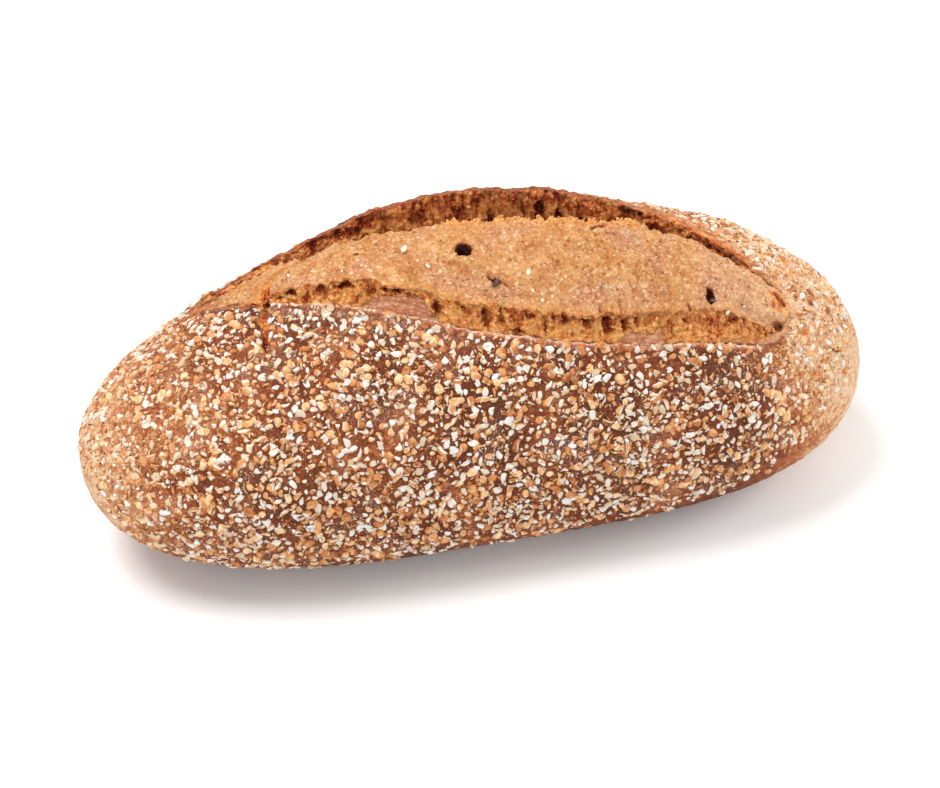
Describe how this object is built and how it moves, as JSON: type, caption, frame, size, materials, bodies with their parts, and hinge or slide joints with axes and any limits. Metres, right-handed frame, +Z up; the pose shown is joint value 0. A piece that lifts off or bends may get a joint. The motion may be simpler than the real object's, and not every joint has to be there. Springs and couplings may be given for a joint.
{
  "type": "wheat bread loaf",
  "caption": "Long oval hearth loaf rolled in cracked wheat, with a lengthwise slash that opened into a swelled tongue, a torn wall and a raised ear; it rests flat on its underside.",
  "frame": {"origin": "under the middle of the loaf's bounding box, on the surface that it stands on", "axes": "+X along the loaf, +Y to its back, where the raised ear of the cut is, +Z up"},
  "size_m": [0.28, 0.1319, 0.105],
  "materials": {
    "crust": "dry matt baked crust, tan to dark brown, covered with golden and white cracked wheat, with orange-tan crumb in the opened cut"
  },
  "bodies": {
    "root": {"loaf": "crust"}
  },
  "joints": []
}
